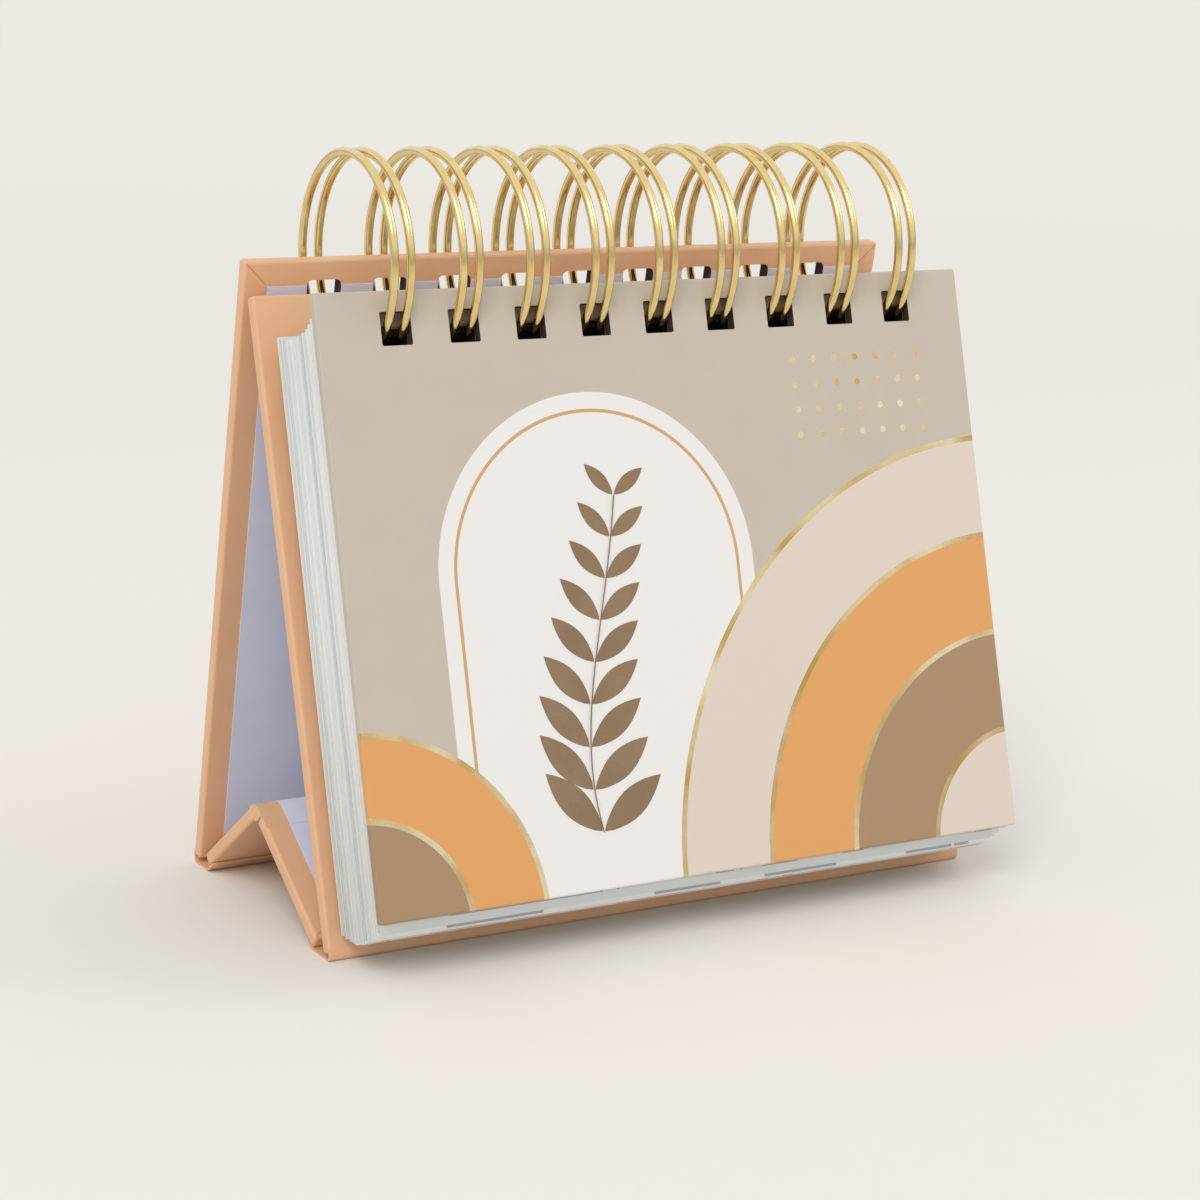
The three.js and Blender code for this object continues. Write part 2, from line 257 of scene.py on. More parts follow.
def foil_dots(add, flat):
    half = DOT_PITCH / 2
    cell = add(VECTOR, [flat, (half, half, 1), (-half, -half, -1)], "WRAP")
    away = add(VECTOR, [cell], "LENGTH")
    mask = add(MATH, [away, DOT_RADIUS], "LESS_THAN")
    axes = add("ShaderNodeSeparateXYZ", [flat]).outputs
    for axis, (middle, reach) in zip(axes, (PATCH_ACROSS, PATCH_UP)):
        within = add(MATH, [axis, middle, reach], "COMPARE")
        mask = add(MATH, [mask, within], "MULTIPLY")
    return mask


def print_and_foil(add, where):
    place = on_stack(add, where)
    flat = add(VECTOR, [place, (1, 1, 0)], "MULTIPLY")
    colour, borders = flat_inks(add, place, flat)
    foil = foil_dots(add, flat)
    for border in borders:
        foil = add(MATH, [foil, border], "MAXIMUM")
    uneven = add(NOISE, {"Vector": place, "Scale": 1 / FOIL_PATCH_MM, "Detail": 6})
    patches = add(RANGE, {"Value": uneven, "From Min": 0.35, "From Max": 0.65})
    gold = add(MIX, [patches, linear("#F2E5BF"), linear("#C9A458")], data_type="RGBA")
    colour = add(MIX, [foil, colour, gold], data_type="RGBA")
    gloss = add(RANGE, {"Value": foil, "To Min": 0.48, "To Max": 0.24})
    tooth = add(NOISE, {"Vector": place, "Scale": 1 / COVER_TOOTH_MM, "Detail": 3})
    height = add(MATH, [foil, FOIL_RISE, tooth], "MULTIPLY_ADD")
    bump = add("ShaderNodeBump", {"Strength": 0.3, "Distance": 0.02 * MM, "Height": height})
    return {"Base Color": colour, "Metallic": foil, "Roughness": gloss, "Normal": bump}


cover_print = new_material("offset print with gold foil", print_and_foil)
print("cover print nodes:", len(cover_print.node_tree.nodes))

# %% [markdown]
# ## Leaf paper: tones and edge prints
# The leaves are thin coated sheets. A block of them is never one even white: each
# sheet catches the light a little differently, and the colour of its print runs out
# over the trimmed edge. A noise across the block would look like marble, so Geometry
# Nodes will give every sheet a random number between zero and one, called tint, and
# the material reads it. Most sheets come out white or a cool pale grey, and a few
# carry a blue or a pink strip along the bottom.

# %% Tones of the sheets and their inked lower edges
SHEET_TONES = ((0.0, "#EEF0EE"), (0.2, "#E3E7E6"), (0.36, "#F1F2F0"), (0.55, "#DADEDD"),
               (0.68, "#EAECEA"), (0.84, "#CFD5D5"), (0.92, "#F0EEEA"))
STREAK_MM = 12.5
STREAK_SHARE = 0.52
ROW_SPREAD = 400.0  # sets the streaks of one sheet apart from those of the next
INKED_FROM_TINT, PINK_FROM_TINT = 0.5, 0.75
INKED_BELOW, INKED_HALF = -110.0, 63.2


def sheet_tones(add, tint):
    ramp = add("ShaderNodeValToRGB", [tint])
    ramp.color_ramp.interpolation = "CONSTANT"
    stops = ramp.color_ramp.elements
    for i, (position, code) in enumerate(SHEET_TONES):
        stop = stops[i] if i < 2 else stops.new(position)
        stop.position = position
        stop.color = linear(code)
    return ramp


def inked_edges(add, tint, across, up, tone):
    rows = add(MATH, [tint, ROW_SPREAD], "MULTIPLY")
    along = add(XYZ, [across, rows])
    streak = add(NOISE, {"Vector": along, "Scale": 1 / STREAK_MM, "Detail": 3}, noise_dimensions="2D")
    mask = add(MATH, [streak, STREAK_SHARE], "GREATER_THAN")
    low = add(MATH, [up, INKED_BELOW], "LESS_THAN")
    off_side = add(MATH, [across, 0.0, INKED_HALF], "COMPARE")
    few = add(MATH, [tint, INKED_FROM_TINT], "GREATER_THAN")
    for part in (low, off_side, few):
        mask = add(MATH, [mask, part], "MULTIPLY")
    hue = add(MATH, [tint, PINK_FROM_TINT], "GREATER_THAN")
    ink = add(MIX, [hue, linear("#A9B2B7"), linear("#D3B3A8")], data_type="RGBA")
    return add(MIX, [mask, tone, ink], data_type="RGBA")


print("sheet tones:", len(SHEET_TONES))

# %% [markdown]
# ## Leaf paper: painted shade behind the holes, and punched holes
# The three leaves that the joints can uncover have a brown band of painted shade behind their
# holes, standing in for the cover's shadow. Seen through the cover's holes it is the only part of the leaves
# that shows.
# The holes of a few hundred leaves make deep dark shafts. Thick drawn sheets let too
# much light into them, so the shafts are shaded in the material: a face attribute
# marks the holes' walls, and depth bands mark the faces that lie deep in the block.

# %% Bands of painted shade, dark shafts and the leaf material
LOOP_PITCH = 12.7
SHEET_THICKNESS = 0.2
SHEET_PITCH, LOOSE_PITCH = 0.235, 0.3
PACKS = {"first_leaf": (10.67, LOOSE_PITCH), "front_leaves": (10.29, SHEET_PITCH),
         "rear_leaves": (1.83, SHEET_PITCH)}  # front of each pack on the stack, and pitch
FACES = {body: front - pitch / 2 + SHEET_THICKNESS / 2 for body, (front, pitch) in PACKS.items()}
HEADER_BOTTOMS = {"first_leaf": -17.5, "front_leaves": -17.8, "rear_leaves": -21.1}
FACE_REACH = 0.03
BURIED_DEPTHS = ((6.075, 3.97), (-2.375, 3.95))  # middle and half depth of what lies inside
SHAFT_HALF_WIDTH = 3.3
SHAFT_HEIGHTS = (-18.7, 5.35)
SHAFT_REACH = 56.0


def header_bands(add, up, out, tone):
    for body, bottom in HEADER_BOTTOMS.items():
        front = add(MATH, [out, FACES[body], FACE_REACH], "COMPARE")
        above = add(MATH, [up, bottom], "GREATER_THAN")
        band = add(MATH, [front, above], "MULTIPLY")
        # painted shade: the brown band darkens the leaf's face behind the holes, where the cover's shadow
        # falls
        tone = add(MIX, [band, tone, linear("#8C7865")], data_type="RGBA")
    return tone


def dark_shafts(add, across, up, out, tone):
    buried = [add(MATH, [out, *depths], "COMPARE") for depths in BURIED_DEPTHS]
    mask = add(MATH, buried, "MAXIMUM")
    apart = add(MATH, [across, LOOP_PITCH / 2], "PINGPONG")
    beside = add(MATH, [apart, SHAFT_HALF_WIDTH], "LESS_THAN")
    level = add(MATH, [up, *SHAFT_HEIGHTS], "COMPARE")
    inward = add(MATH, [across, 0.0, SHAFT_REACH], "COMPARE")
    for part in (beside, level, inward):
        mask = add(MATH, [mask, part], "MULTIPLY")
    wall = add("ShaderNodeAttribute", attribute_name="hole_wall")
    shaft = add(MATH, [mask, wall.outputs["Fac"]], "MAXIMUM")
    return add(MIX, [shaft, tone, linear("#2E2621")], data_type="RGBA")


def coated_leaf(add, where):
    tint = add("ShaderNodeAttribute", attribute_name="tint").outputs["Fac"]
    across, up, out = add("ShaderNodeSeparateXYZ", [on_stack(add, where)]).outputs
    sheet = inked_edges(add, tint, across, up, sheet_tones(add, tint))
    sheet = dark_shafts(add, across, up, out, header_bands(add, up, out, sheet))
    return {"Base Color": sheet, "Roughness": 0.62}


leaf_paper = new_material("coated leaf paper", coated_leaf)
print("leaf material nodes:", len(leaf_paper.node_tree.nodes), "faces at, mm:", FACES)

# %% [markdown]
# ## Gold wire
# Binding wire is soft steel with a gold-coloured plating under a clear coat. It is
# metal, so it has almost no colour of its own but tints what it reflects. Drawing the
# wire leaves faint streaks along it, which a stretched noise would show only at
# a scale far below a pixel here, so a slight unevenness of roughness stands for them.

# %% Gold wire material
PLATING_MM = 2.5


def gold_plating(add, where):
    uneven = add(NOISE, {"Vector": where, "Scale": 1 / (PLATING_MM * MM), "Detail": 3})
    colour = add(MIX, [uneven, linear("#F0DEA6"), linear("#D8BB75")], data_type="RGBA")
    rough = add(RANGE, {"Value": uneven, "To Min": 0.12, "To Max": 0.22})
    return {"Base Color": colour, "Metallic": 1.0, "Roughness": rough}


gold_wire = new_material("gold plated binding wire", gold_plating)
print("metal:", gold_wire.name)

# %% [markdown]
# ## Making and placing meshes
# A sheet is drawn flat and ends up leaning, and most pieces need one or two
# modifiers. Blender can keep both live, but the frame wants plain meshes with their
# objects at the origin. So these helpers link data as an object, turn what the
# modifiers make into a plain mesh, and move a mesh, not its object, to its place.
# The last one also attaches the piece to the body it rides on, or, for a piece that spans
# two bodies, only bakes its place, and it hides the frame nodes it replaces.

# %% Helpers for pieces


def linked(data, name, materials=()):
    for material in materials:
        data.materials.append(material)
    made = bpy.data.objects.new(name, data)
    bpy.context.scene.collection.objects.link(made)
    return made


def piece_from_shape(shape, name, materials=()):
    mesh = bpy.data.meshes.new(name)
    shape.to_mesh(mesh)
    shape.free()
    return linked(mesh, name, materials)


def plain_copy(piece, name):
    graph = bpy.context.evaluated_depsgraph_get()
    mesh = bpy.data.meshes.new_from_object(piece.evaluated_get(graph))
    mesh.name = name
    for i in reversed(range(len(mesh.materials))):
        if mesh.materials[i] is None:
            mesh.materials.pop(index=i)
    bpy.data.objects.remove(piece)
    return linked(mesh, name)


def place(piece, plane):
    piece.data.transform(plane)
    piece.data.update()


def fit_out(piece, plane, body, slot, *nodes, bend=()):
    place(piece, plane)
    if bend:
        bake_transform(piece)
    else:
        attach(piece, body)
    if nodes:
        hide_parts(*nodes)
    print(piece.name, "faces:", len(piece.data.polygons))


print("frame nodes to dress:", len(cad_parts))

# %% [markdown]
# ## Wrapped boards
# A wrapped board is a slab with softly rounded edges, because paper can't follow a
# sharp corner. It could be drawn as a curve with a bevel, but a box whose edges are
# bevelled is simpler and stays closed. The holes are punched after wrapping, so they
# have crisp edges and show the grey board inside. A Boolean with a row of boxes does
# the same, and gives the cut walls the boxes' material: grey board darkened to a deep
# brown, which is painted shade for the inside of the holes.

# %% Slabs and punched holes
WIRE_LOOPS = 9
CUTTER_HEIGHT = 60
LOOP_PLACES = [(i - (WIRE_LOOPS - 1) / 2) * LOOP_PITCH for i in range(WIRE_LOOPS)]


def add_box(shape, middle, size, angle=0, rounding=0):
    made = bmesh.ops.create_cube(shape, size=1)["verts"]
    turned = Matrix.Translation(middle) @ Matrix.Rotation(math.radians(angle), 4, "Z")
    bmesh.ops.transform(shape, matrix=turned @ Matrix.Diagonal((*size, 1)), verts=made)
    if rounding:
        upright = [e for e in {e for v in made for e in v.link_edges}
                   if abs(e.verts[0].co.z - e.verts[1].co.z) > CUTTER_HEIGHT / 2]
        bmesh.ops.bevel(shape, geom=upright, offset=rounding, segments=3, profile=0.5, affect="EDGES")


def rounded_slab(name, low, high, radius, materials, segments=4):
    shape = bmesh.new()
    low, high = Vector(low), Vector(high)
    add_box(shape, (high + low) / 2, high - low)
    bmesh.ops.bevel(shape, geom=shape.edges[:] + shape.verts[:], offset=radius,
                    segments=segments, profile=0.5, affect="EDGES")
    return piece_from_shape(shape, name, materials)


def cut_away(piece, shape, material):
    cutters = piece_from_shape(shape, "cutters", [material])
    cut = piece.modifiers.new("cut", "BOOLEAN")
    cut.operation = "DIFFERENCE"
    cut.solver = "EXACT"
    cut.material_mode = "TRANSFER"
    cut.object = cutters
    result = plain_copy(piece, piece.name)
    bpy.data.objects.remove(cutters)
    return result


def punched(piece, width, height, top, rounding):
    shape = bmesh.new()
    for x in LOOP_PLACES:
        add_box(shape, (x, top - height / 2, 0), (width, height, CUTTER_HEIGHT), rounding=rounding)
    return cut_away(piece, shape, board_edge)


print("loops:", WIRE_LOOPS, "at", LOOP_PITCH, "mm, from", LOOP_PLACES[0], "to", LOOP_PLACES[-1])

# %% [markdown]
# ## Turned-in corners and linings
# Inside, the wrapping paper is turned in over the board and mitred at the corners,
# and a white lining sheet hides the rest. The mitre is one paper edge lying on
# another. Drawn as two layers it would be thinner than a pixel, so a shallow groove
# at 45 degrees shows its line. The lining is its own thin slab that lies on the
# turned-in paper, so the board's slab is thinner there by the lining's thickness.

# %% Mitred corners and one wrapped board
LINING = 0.12
LINING_SUNK = LINING_ROUNDING = 0.03
BOARD_WIDTH = 132
BOARD_DEPTH = 2.6
TURN_IN = 4.3
LINING_SETBACK = 0.2
HOLE_MARGIN = 3.6
CREASE_WIDTH, CREASE_DEPTH = 0.2, 0.16


def creased_corners(piece, half, edges, level, reach, paper):
    shape = bmesh.new()
    length = reach * math.sqrt(2)
    for x_side in (-1, 1):
        for y_edge, y_side in edges:
            middle = (x_side * (half - reach / 2), y_edge + y_side * reach / 2, level)
            add_box(shape, middle, (length, CREASE_WIDTH, 2 * CREASE_DEPTH), -45 * x_side * y_side)
    return cut_away(piece, shape, paper)


def wrapped_board(name, body, plane, low, high, face, back, holes=None, rounding=0.9, turn_in=TURN_IN,
                  top_inset=TURN_IN + LINING_SETBACK, width=BOARD_WIDTH, paper=peach_paper,
                  radius=0.55, slot="peach_paper"):
    towards = 1 if back > face else -1
    inner = back - towards * LINING
    half = width / 2
    case = rounded_slab(name + "_case", (-half, low, min(face, inner)), (half, high, max(face, inner)),
                        radius, [paper])
    inset = turn_in + LINING_SETBACK
    start = inner - towards * LINING_SUNK
    lining = rounded_slab(name + "_lining", (-half + inset, low + inset, min(start, back)),
                          (half - inset, high - top_inset, max(start, back)), LINING_ROUNDING,
                          [lining_paper], segments=2)
    if holes:
        case, lining = (punched(piece, *holes, high - HOLE_MARGIN, rounding) for piece in (case, lining))
    mitred = [(low, 1)] if body.startswith("base") else [(low, 1), (high, -1)]
    case = creased_corners(case, half, mitred, inner, turn_in, paper)
    fit_out(case, plane, body, slot, name + "_wrap", name + "_board")
    fit_out(lining, plane, body, "liner", name + "_liner")


print("board depth:", BOARD_DEPTH, "mm, of which lining:", LINING, "mm")

# %% [markdown]
# ## The easel's boards and the cover
# The easel has two tall panels, which the wire pierces, and two short base boards.
# The base boards have no mitre at the ridge, where their paper runs over from one
# to the other. The cover is a thinner board of the same kind with a wider turn-in.
# One function makes all five, because they differ only in sizes and paper.

# %% Five wrapped boards
EASEL_HOLE = (6.5, 9.2)
LEAF_HOLE = (5.65, 5.65)
PANEL_START, FRONT_TOP, REAR_TOP = 1.6, 113.6, 115.6
BASE_START, BASE_FRONT_TOP, BASE_REAR_TOP = 2.6, 30.487, 27.109
COVER_FACE, COVER_BACK, COVER_TOP = 12.55, 10.75, -7.25
COVER_TURN_IN = 7

wrapped_board("front", "easel_front", FRONT, PANEL_START, FRONT_TOP, 0, -BOARD_DEPTH, EASEL_HOLE)
wrapped_board("rear", "easel_rear", REAR, PANEL_START, REAR_TOP, 0, BOARD_DEPTH, EASEL_HOLE)
wrapped_board("base_front", "base_front", BASE_FRONT, BASE_START, BASE_FRONT_TOP, -BOARD_DEPTH, 0,
              top_inset=3.02)
wrapped_board("base_rear", "base_rear", BASE_REAR, BASE_START, BASE_REAR_TOP, BOARD_DEPTH, 0,
              top_inset=0.6)
wrapped_board("cover", "cover", STACK, COVER_BOTTOM, COVER_TOP, COVER_FACE, COVER_BACK, LEAF_HOLE,
              rounding=0.3, turn_in=COVER_TURN_IN, top_inset=COVER_TURN_IN, width=2 * COVER_HALF,
              paper=cover_print, radius=0.45, slot="cover_print")

# %% [markdown]
# ## One leaf
# A leaf is a rectangle of paper with nine punched holes. A Boolean would cut it too,
# but a flat 2D curve fills its outline and leaves inner loops open, so ten outlines
# drawn as splines and a small extrusion make the whole sheet with few faces. Its
# hole walls are marked in a face attribute, which every copy will keep.

# %% One punched sheet
LEAF_HALF = 63.9
LEAF_LENGTH = 101.3
MERGE_WITHIN = 0.0005
MARGIN = 0.1


def drawn_curve(name, lines, dimensions="3D"):
    curve = bpy.data.curves.new(name, "CURVE")
    curve.dimensions = dimensions
    for points in lines:
        spline = curve.splines.new("POLY")
        spline.points.add(len(points) - 1)
        for point, at in zip(spline.points, points):
            point.co = (*at, 1)
        spline.use_cyclic_u = dimensions == "2D"
    return linked(curve, name)


def corners(left, bottom, right, top):
    return [(left, bottom, 0), (right, bottom, 0), (right, top, 0), (left, top, 0)]


def punched_leaf(name):
    width, height = LEAF_HOLE
    outlines = [corners(-LEAF_HALF, HOLE_MARGIN - LEAF_LENGTH, LEAF_HALF, HOLE_MARGIN)]
    outlines += [corners(x - width / 2, -height, x + width / 2, 0) for x in LOOP_PLACES]
    drawing = drawn_curve(name, outlines, "2D")
    drawing.data.fill_mode = "BOTH"
    drawing.data.extrude = SHEET_THICKNESS / 2
    leaf = plain_copy(drawing, name)
    shape = bmesh.new()
    shape.from_mesh(leaf.data)
    bmesh.ops.remove_doubles(shape, verts=shape.verts, dist=MERGE_WITHIN)
    bmesh.ops.recalc_face_normals(shape, faces=shape.faces)
    shape.normal_update()
    wall = shape.faces.layers.float.new("hole_wall")
    for face in shape.faces:
        middle = face.calc_center_median()
        in_hole = abs(middle.x) < LEAF_HALF - MARGIN and -height - MARGIN < middle.y < MARGIN
        face[wall] = float(in_hole and abs(face.normal.z) < 0.5)
    walls = sum(1 for face in shape.faces if face[wall])
    shape.to_mesh(leaf.data)
    shape.free()
    return leaf, walls


sheet, hole_walls = punched_leaf("one_sheet")
print("one sheet:", len(sheet.data.polygons), "faces,", hole_walls, "of them hole walls")

# %% [markdown]
# ## The tree for the block of leaves: start and end
# A day calendar has a leaf for every day, each thinner than a pixel of this render.
# An Array modifier could repeat one sheet, but not let each one hang by a rule, so
# Geometry Nodes do it. Every tree here starts with named inputs and ends by making
# its instances real and giving them their material, so two helpers do just that.

# %% Start and end of a tree


def start_tree(name, **inputs):
    tree = bpy.data.node_groups.new(name, "GeometryNodeTree")
    ids = {}
    for kind, labels in {"Geometry": ["Geometry"], **inputs}.items():
        for label in labels:
            socket = tree.interface.new_socket(name=label, in_out="INPUT",
                                               socket_type="NodeSocket" + kind)
            ids[label] = socket.identifier
    tree.interface.new_socket(name="Geometry", in_out="OUTPUT", socket_type="NodeSocketGeometry")
    add = partial(add_node, tree)
    return tree, ids, add, add("NodeGroupInput").outputs


def end_tree(add, geometry, material):
    real = add("GeometryNodeRealizeInstances", [geometry])
    dressed = add("GeometryNodeSetMaterial", {"Geometry": real, "Material": material})
    add("NodeGroupOutput", [dressed])


def grown(name, tree, ids, values, host=None):
    if host is None:
        host = linked(bpy.data.meshes.new(name), name)
    modifier = host.modifiers.new("nodes", "NODES")
    modifier.node_group = tree
    for key, value in values.items():
        modifier[ids[key]] = value
    return plain_copy(host, name)


print("node trees so far:", len(bpy.data.node_groups))

# %% [markdown]
# ## The block of leaves: how each sheet hangs
# Two rules make the block look real. Each group of sheets hangs from the round wire,
# so its height follows a circle, which gives the stepped top and bottom edges. And
# each group sits a little to one side, with a still smaller shift for each sheet.
# Both are sums on the sheet's index, so that sizes stay inputs of the tree.

# %% Height and sideways shift of a sheet
RANDOM = "FunctionNodeRandomValue"
TINT_SEED_STEP = 7.0
WIRE_INNER_RADIUS = 17.25
HOLE_CLEARANCE = 0.4


def hanging_height(add, given, group_front, group_depth):
    group_back = add(MATH, [group_front, group_depth], "SUBTRACT")
    reaches = [add(MATH, [side], "ABSOLUTE") for side in (group_front, group_back)]
    reach = add(MATH, reaches, "MAXIMUM")
    squares = [add(MATH, [side, side], "MULTIPLY") for side in (given["Wire Radius"], reach)]
    drop_squared = add(MATH, squares, "SUBTRACT")
    drop = add(MATH, [drop_squared], "SQRT")
    return add(MATH, [given["Clearance"], drop], "SUBTRACT")


def sideways_shift(add, given, group):
    seed = given["Seed"]
    of_group = add(RANDOM, {"Min": -1.0, "Max": 1.0, "ID": group, "Seed": seed}, data_type="FLOAT")
    of_sheet = add(RANDOM, {"Min": -1.0, "Max": 1.0, "Seed": seed}, data_type="FLOAT")
    coarse = add(MATH, [of_group, given["Group Shift"]], "MULTIPLY")
    return add(MATH, [of_sheet, given["Sheet Shift"], coarse], "MULTIPLY_ADD")


front_drop = math.sqrt(WIRE_INNER_RADIUS ** 2 - PACKS["front_leaves"][0] ** 2) - HOLE_CLEARANCE
print("the front group hangs %.2f mm below the wire's centre" % front_drop)

# %% [markdown]
# ## The block of leaves: the whole tree
# Real leaves are all cut in one go, so every sheet can be the same one. The tree
# starts from a line of points, moves each point to its sheet's place by the rules
# above, stores the tint there, and puts an instance of the one sheet on every point.

# %% The tree that hangs the sheets on the wire


def hanging_leaves_tree():
    tree, ids, add, given = start_tree(
        "leaves hanging on a round wire", Object=["Sheet"], Material=["Paper"],
        Int=["Count", "Per Group", "Seed"],
        Float=["Pitch", "First", "Wire Radius", "Clearance", "Group Shift", "Sheet Shift"])
    line = add("GeometryNodeMeshLine", {"Count": given["Count"], "Offset": (0, 0, 0)})
    index = add("GeometryNodeInputIndex")
    past = add(MATH, [index, 0.01], "ADD")  # keeps rounding from putting a sheet one group back
    share = add(MATH, [past, given["Per Group"]], "DIVIDE")
    group = add(MATH, [share], "FLOOR")
    group_depth = add(MATH, [given["Per Group"], given["Pitch"]], "MULTIPLY")
    before = add(MATH, [group, group_depth], "MULTIPLY")
    group_front = add(MATH, [given["First"], before], "SUBTRACT")
    height = hanging_height(add, given, group_front, group_depth)
    middle = add(MATH, [index, 0.5], "ADD")
    inward = add(MATH, [middle, given["Pitch"]], "MULTIPLY")
    depth = add(MATH, [given["First"], inward], "SUBTRACT")
    spot = add(XYZ, [sideways_shift(add, given, group), height, depth])
    moved = add("GeometryNodeSetPosition", {"Geometry": line, "Position": spot})
    other_seed = add(MATH, [given["Seed"], TINT_SEED_STEP], "ADD")
    tint = add(RANDOM, {"Min": 0.0, "Max": 1.0, "Seed": other_seed}, data_type="FLOAT")
    named = add("GeometryNodeStoreNamedAttribute", {"Geometry": moved, "Name": "tint", "Value": tint},
                data_type="FLOAT")
    source = add("GeometryNodeObjectInfo", {"Object": given["Sheet"]})
    copies = add("GeometryNodeInstanceOnPoints", {"Points": named, "Instance": source.outputs["Geometry"]})
    end_tree(add, copies, given["Paper"])
    return tree, ids


leaves_tree, leaves_inputs = hanging_leaves_tree()
print("tree of the leaves:", len(leaves_tree.nodes), "nodes")

# %% [markdown]
# ## Two packs of leaves and a loose one
# The frame turns the block in two halves and the first leaf by itself, so each of the
# three gets its own piece from the same tree. The sheets are drawn at twice the
# thickness of real ones or more, so that their edges show.

# %% The three pieces of the block
HANGING = {"Sheet": sheet, "Wire Radius": WIRE_INNER_RADIUS, "Clearance": HOLE_CLEARANCE,
           "Paper": leaf_paper}
BUNDLE = {"Count": 36, "Per Group": 6, "Group Shift": 0.3, "Sheet Shift": 0.12}
SINGLE = {"Count": 1, "Per Group": 1, "Group Shift": 0.0, "Sheet Shift": 0.0}


def hung_leaves(name, body, sizes, seed, nodes):
    first, pitch = PACKS[body]
    sizes = {**HANGING, **sizes, "First": first, "Pitch": pitch, "Seed": seed}
    fit_out(grown(name, leaves_tree, leaves_inputs, sizes), STACK, body, "page", *nodes)


bundle_nodes = ["leaves_%02d" % i for i in range(1, 13)]
hung_leaves("front_leaf_bundle", "front_leaves", BUNDLE, seed=3, nodes=bundle_nodes[:6])
hung_leaves("rear_leaf_bundle", "rear_leaves", BUNDLE, seed=11, nodes=bundle_nodes[6:])
hung_leaves("first_page", "first_leaf", SINGLE, seed=5, nodes=["first_leaf"])
bpy.data.objects.remove(sheet)

# %% [markdown]
# ## The wire: its route
# The binding is one wire from end to end. It runs along the seam behind the leaves,
# goes up and round as one leg of a loop, turns in a hairpin at the tip, comes back
# beside itself and goes on to the next loop. Nine separate double rings would be
# easier, but they would float, so the route is worked out point by point.

# %% Route of the wire
LOOP_RADIUS = 18
LEG_SPACING = 3
SEAM_OFFSET = 8.3
SEAM_GAP = 2.6
BEND = 1.5
WIRE_RADIUS = 0.75
LEG_STEPS = 72
BEND_STEPS = 6


def loop_point(x, turn, start):
    angle = start + turn
    return Vector((x, STACK_AT[0] + LOOP_RADIUS * math.cos(angle),
                   STACK_AT[1] + LOOP_RADIUS * math.sin(angle)))


def wire_route():
    seam_drop = math.sqrt(LOOP_RADIUS ** 2 - SEAM_OFFSET ** 2)
    start = math.radians(STACK_ANGLE) + math.pi + math.atan2(SEAM_OFFSET, seam_drop)
    bend_turn = BEND / LOOP_RADIUS
    tip_turn = 2 * math.pi - SEAM_GAP / LOOP_RADIUS - bend_turn
    half = LEG_SPACING / 2
    quarter = math.pi / 2
    points = []

    def arc(a, b, x, turn, reach):
        for k in range(BEND_STEPS + 1):
            angle = a + (b - a) * k / BEND_STEPS
            points.append(loop_point(x + reach * math.cos(angle), turn + bend_turn * math.sin(angle), start))

    def leg(x, a, b):
        for k in range(1, LEG_STEPS):
            points.append(loop_point(x, a + (b - a) * k / LEG_STEPS, start))

    for centre in LOOP_PLACES:
        arc(-quarter, 0, centre - half - BEND, bend_turn, BEND)
        leg(centre - half, bend_turn, tip_turn)
        arc(math.pi, 0, centre, tip_turn, half)
        leg(centre + half, tip_turn, bend_turn)
        arc(math.pi, 3 * quarter, centre + half + BEND, bend_turn, BEND)
    return points[BEND_STEPS:-BEND_STEPS]  # without the bends before the first and past the last loop


route = wire_route()
length = sum((b - a).length for a, b in zip(route, route[1:]))
print("wire: %d points, %.0f mm long" % (len(route), length))

# %% [markdown]
# ## The wire: its thickness
# A curve's own bevel could thicken the route, but a small tree sweeps a circle along
# it and closes both ends, with the radius and the number of sides as inputs.

# %% Sweep the wire


def round_wire_tree():
    tree, ids, add, given = start_tree("round wire along a route", Float=["Radius"], Int=["Sides"],
                                       Material=["Metal"])
    ring = add("GeometryNodeCurvePrimitiveCircle", {"Resolution": given["Sides"], "Radius": given["Radius"]})
    swept = add("GeometryNodeCurveToMesh",
                {"Curve": given["Geometry"], "Profile Curve": ring, "Fill Caps": True})
    smooth = add("GeometryNodeSetShadeSmooth", {"Geometry": swept})
    end_tree(add, smooth, given["Metal"])
    return tree, ids


wire_tree, wire_inputs = round_wire_tree()
wire = grown("twin_loop_wire", wire_tree, wire_inputs,
             {"Radius": WIRE_RADIUS, "Sides": 12, "Metal": gold_wire}, drawn_curve("route", [route]))
fit_out(wire, SIDE, "easel_front", "wire", "wire_binding")

# %% [markdown]
# ## Drawing bent paper in the side view
# Where bare paper bends, its shape is the same all along the wire's direction, so it
# is enough to draw it once in the side view. A Bezier line gives the bend, a second
# line beside it gives the thickness, and the closed outline is drawn out to the width.

# %% Helpers for bent paper


def bezier(points, steps):
    made = []
    for k in range(steps + 1):
        t = k / steps
        row = [Vector(p) for p in points]
        while len(row) > 1:
            row = [a.lerp(b, t) for a, b in zip(row, row[1:])]
        made.append(row[0])
    return made


def ribbon(line, thickness):
    other = []
    for i, point in enumerate(line):
        along = (line[min(i + 1, len(line) - 1)] - line[max(i - 1, 0)]).normalized()
        other.append(point + Vector((-along.y, along.x)) * thickness)
    return line + other[::-1]


def prism(name, ends, materials=()):
    shape = bmesh.new()
    ends = [[shape.verts.new(point) for point in end] for end in ends]
    count = len(ends[0])
    for i in range(count):
        k = (i + 1) % count
        shape.faces.new((ends[0][i], ends[0][k], ends[1][k], ends[1][i]))
    for end in ends:
        shape.faces.new(end)
    bmesh.ops.recalc_face_normals(shape, faces=shape.faces)
    return piece_from_shape(shape, name, materials)


def extruded(name, outline, half, material):
    return prism(name, [[(x, y, z) for y, z in outline] for x in (-half, half)], [material])


print("points in a short bend:", len(bezier([(0, 0), (1, 0), (1, 1)], steps=12)))

# %% [markdown]
# ## Paper hinges at the feet
# The wrapping paper runs on from each large panel, round its foot, and up under the
# base board, and this bare paper is the hinge.

